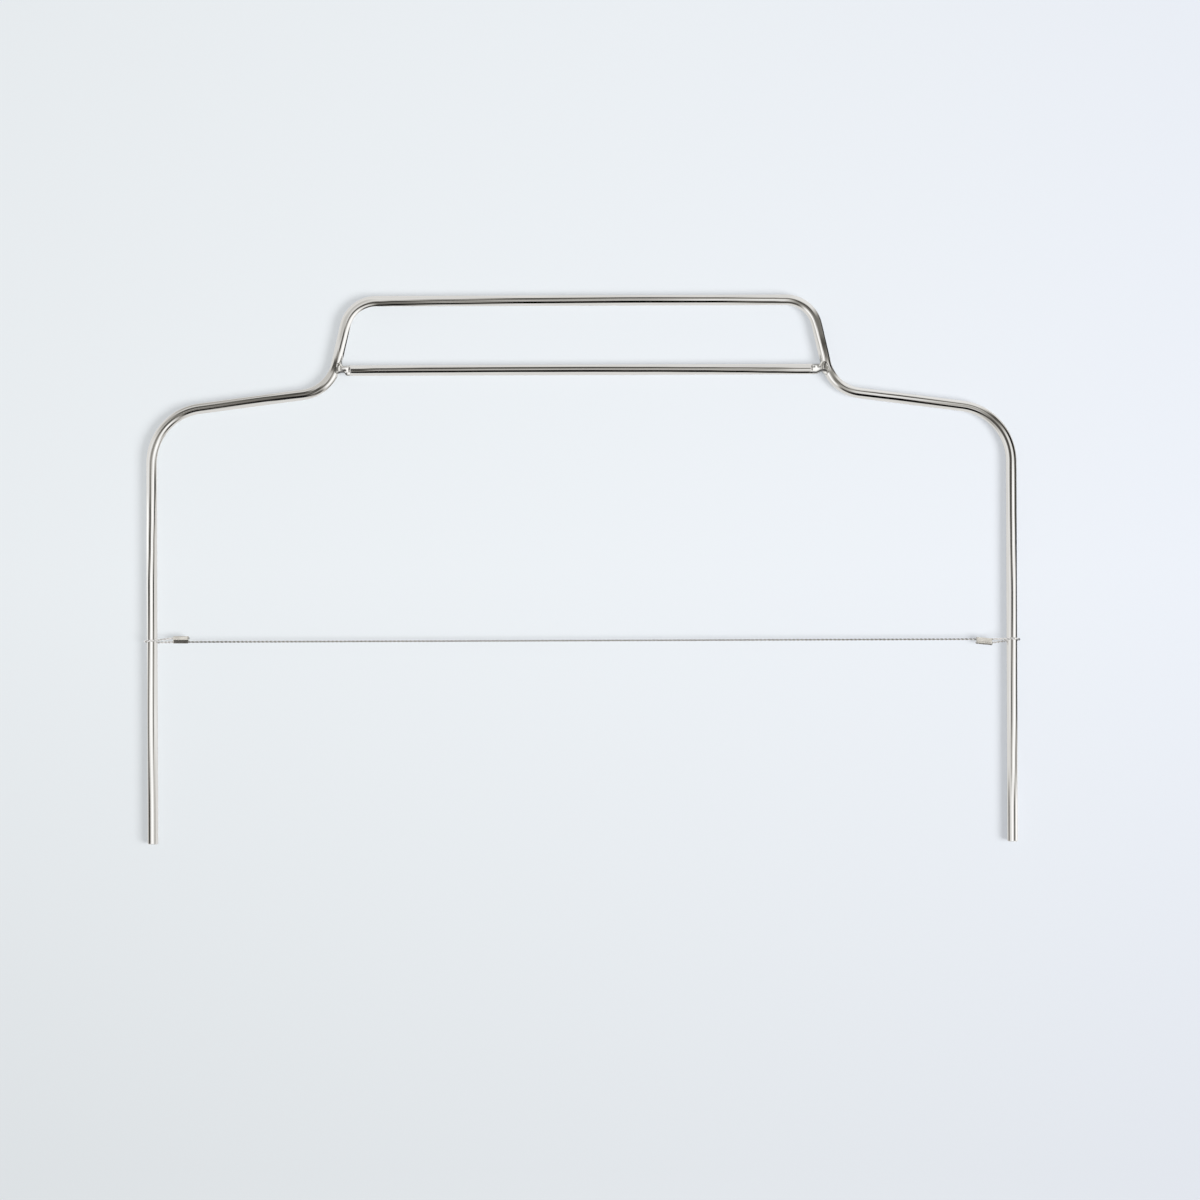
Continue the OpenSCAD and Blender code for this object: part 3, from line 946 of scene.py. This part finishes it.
def bar_ring(x, joint_x):
    """Section of the grip bar, round along its length and pressed at its ends."""
    side = 1 if x > 0 else -1
    off = joint_x - abs(x)
    pressed = 1 - eased((off - PINCHES[side][0]) / PINCH_RUN)
    sides = 64
    ring = []
    for i in range(sides):
        turn = math.tau * i / sides
        y, z = ROD_R * math.cos(turn), ROD_R * math.sin(turn)
        z += pressed * (soft_limit(z, ROD_R - PINCH_DEPTH, PINCH_ROUND) - z)
        if y < 0:
            y *= 1 - taken_below(side, off)
        if z > 0:
            for out, across, long, wide, deep in DENTS[side]:
                z -= deep * MM * bump_at(off, y, out * MM, across * MM, long * MM, wide * MM)
        ring.append((x, GRIP_Y + y, AXIS_Z + z))
    return ring


def grip_bar(steel):
    joint_x, _ = grip_joint()
    fine, coarse, worked = 0.12 * MM, 4 * MM, 8 * MM
    end = GRIP_HIGH.x
    near = [end - i * fine for i in range(int(worked / fine))]
    count = int(2 * near[-1] / coarse)
    far = [near[-1] - 2 * near[-1] * i / count for i in range(1, count)]
    places = near + far + [-x for x in reversed(near)]
    bar = lofted("bar_pressed", [[bar_ring(x, joint_x) for x in places]], steel)
    darken_points(bar, weld_burn_and_shade)
    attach(bar, "frame")
    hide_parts("grip_bar")


def nugget_level(share, along, inner, face, side):
    """Height of a nugget over the bar's axis: a dished floor with a raised rim and a
    rounded edge."""
    top = ROD_R + NUGGET_FLAT
    rough = noise.noise(Vector((along, inner * -side, face)) / NUGGET_GRAIN)
    rim = math.exp(-((share - NUGGET_RIM_AT) / NUGGET_RIM_REACH) ** 2)
    level = top - NUGGET_DISH + NUGGET_RIM * rim + NUGGET_ROUGH * rough
    level -= NUGGET_FORMS[side][1] * abs(inner - RIDGE_AT)
    level -= NICK_DEPTH * bump_at(along, inner, *NICK)
    level = min(level, top - NUGGET_MARGIN)
    return level - NUGGET_EDGE * eased((share - NUGGET_EDGE_FROM) / NUGGET_EDGE_RUN)


def nugget_rings(side, joint_x, lean):
    """Oval button that the electrodes pressed on the riser, the same above and below."""
    steps, sides = 12, 72
    turned = side * lean
    length = (NUGGET_LEN / 2 + NUGGET_FORMS[side][0]) / 2

    def oval(value):
        return math.copysign(abs(value) ** NUGGET_CORNERS, value)

    def place(share, turn, face):
        along = share * length * oval(math.sin(turn)) + NUGGET_LEN / 2 - length
        across = share * NUGGET_W / 2 * oval(math.cos(turn))
        level = nugget_level(share, along, -side * across, face, side)
        x = side * (joint_x - NUGGET_SHIFT) + across * math.cos(turned) - along * math.sin(turned)
        y = across * math.sin(turned) + along * math.cos(turned)
        return (x, GRIP_Y + y, AXIS_Z + face * level)

    def rings(face):
        return [[place((i + 1) / steps, math.tau * j / sides, face) for j in range(sides)]
                for i in range(steps)]

    return rings(1) + rings(-1)[::-1]


def flash_rings(side, joint_x):
    """Collar of flash round the bar's end, which thins out along the bar."""
    steps, sides = 15, 64
    reach = ROD_R + FLASH_LEN
    rings = []
    for i in range(steps + 1):
        off = reach * i / steps
        thin = eased((off - FLASH_THINS_FROM) / (reach - FLASH_THINS_FROM))
        radius = ROD_R + FLASH_PROUD * (1 - thin)
        flat = ROD_R + NUGGET_FLAT * FLASH_RISE - (PINCH_DEPTH + NUGGET_FLAT * FLASH_SINK) * thin
        ring = []
        for j in range(sides):
            turn = math.tau * j / sides
            y = radius * math.cos(turn)
            z = soft_limit(radius * math.sin(turn), flat, FLASH_ROUND)
            if y < 0:
                y *= 1 - taken_below(side, off)
            rough = 1 + FLASH_ROUGH * noise.noise(Vector((off, y, z)) / FLASH_GRAIN)
            ring.append((side * (joint_x - off), GRIP_Y + y * rough, AXIS_Z + z * rough))
        rings.append(ring)
    return rings


def welds(steel):
    joint_x, lean = grip_joint()
    for side, name, node in ((-1, "weld_pressed_left", "weld_left"),
                             (1, "weld_pressed_right", "weld_right")):
        weld = lofted(name, [nugget_rings(side, joint_x, lean),
                             flash_rings(side, joint_x)], steel)
        darken_points(weld, weld_burn_and_shade)
        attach(weld, "frame")
        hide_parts(node)


def ferrule_ring(x, middle, half_w, half_t, side, shrink):
    """Section of a crimped sleeve, pressed flat with a slope along one edge, and turned
    about the wire."""
    sides = 64
    turn = FERRULE_TURN[side]
    ring = []
    for i in range(sides):
        angle = math.tau * i / sides
        y = half_w * math.cos(angle)
        z = soft_limit(FERRULE_BULGE * half_w * math.sin(angle), half_t, FERRULE_ROUND)
        if y < 0:
            y *= FERRULE_LOWER_SIDE[side]
        past = -side * y - FERRULE_FLAT
        if z > 0 and past > 0:
            z = min(z, half_t - FERRULE_SLOPE * past)
        y, z = y * shrink, z * shrink
        ring.append((x, middle.y + y * math.cos(turn) - z * math.sin(turn),
                     middle.z + y * math.sin(turn) + z * math.cos(turn)))
    return ring


def ferrule_edge_shade(place, middle, side):
    """How dark the painted shade line is along the right ferrule's lower edge."""
    if side < 0:
        return 0.0
    skewed = (place.x - middle.x) * math.tan(FERRULE_SKEW[side])
    shade_line = middle.y + skewed - EDGE_SHADE_AT * FERRULE_HALF_W[side]
    return EDGE_SHADE_TONE * math.exp(-((place.y - shade_line) / EDGE_SHADE_REACH) ** 2)


def ferrules(metal):
    for side, name, node in ((-1, "ferrule_crimped_left", "ferrule_left"),
                             (1, "ferrule_crimped_right", "ferrule_right")):
        low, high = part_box(node)
        middle = (low + high) / 2
        half_t = (high.z - low.z) / 2 * FERRULE_PRESS
        steps = 40
        rings = []
        for i in range(steps + 1):
            share = i / steps
            x = low.x + (high.x - low.x) * share
            from_end = min(x - low.x, high.x - x)
            edge = 1 - FERRULE_LIP_DROP * (1 - min(from_end / FERRULE_LIP, 1)) ** 2
            bite = 1 - FERRULE_BITE * math.exp(-((share - 0.5) / FERRULE_BITE_REACH) ** 2)
            askew = Vector((0, (x - middle.x) * math.tan(FERRULE_SKEW[side]), 0))
            rings.append(ferrule_ring(x, middle + askew, FERRULE_HALF_W[side], half_t * bite,
                                      side, edge))
        ferrule = lofted(name, [rings], metal)
        darken_points(ferrule, lambda place: ferrule_edge_shade(place, middle, side))
        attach(ferrule, "wire")
        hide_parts(node)


camera()
table()
panels()
world()
key_light()

# Each finish: its name, colour, roughness, the grain of its lines and their streak
STEEL = (0.775, 0.765, 0.745)
rod_steel = steel_material("rod_steel", STEEL, 0.09, 2600, (1, 1, 0.02), "rod_place")
bar_steel = steel_material("bar_steel", STEEL, 0.09, 2600, (0.02, 1, 1))
weld_steel = steel_material("weld_steel", (0.76, 0.75, 0.72), 0.20, 1500, (1, 1, 1))
wire_steel = steel_material("wire_steel", (0.68, 0.67, 0.65), 0.14, 3000, (0.3, 1, 1))
# The loops wear a paler copy of the wire's steel: painted light that makes them brighter than the
# straight wire.
loop_steel_painted_pale = steel_material("loop_steel_painted_pale", (0.82, 0.81, 0.80), 0.20, 3000, (0.3, 1, 1))
ferrule_metal = steel_material("ferrule_metal", (0.76, 0.74, 0.69), 0.20, 1800, (0.3, 1, 1))

rod_sweep = rod_tree()
frame_rod(rod_sweep, rod_steel)
rod_sleeve(rod_sweep)
grip_sleeve(rod_sweep)
ferrule_cards()
twist = twist_tree()
cutting_wire(twist, wire_steel)
loops(twist, loop_steel_painted_pale)
tails(twist, wire_steel)
grip_bar(bar_steel)
welds(weld_steel)
ferrules(ferrule_metal)

bpy.context.scene.view_settings.view_transform = "Standard"
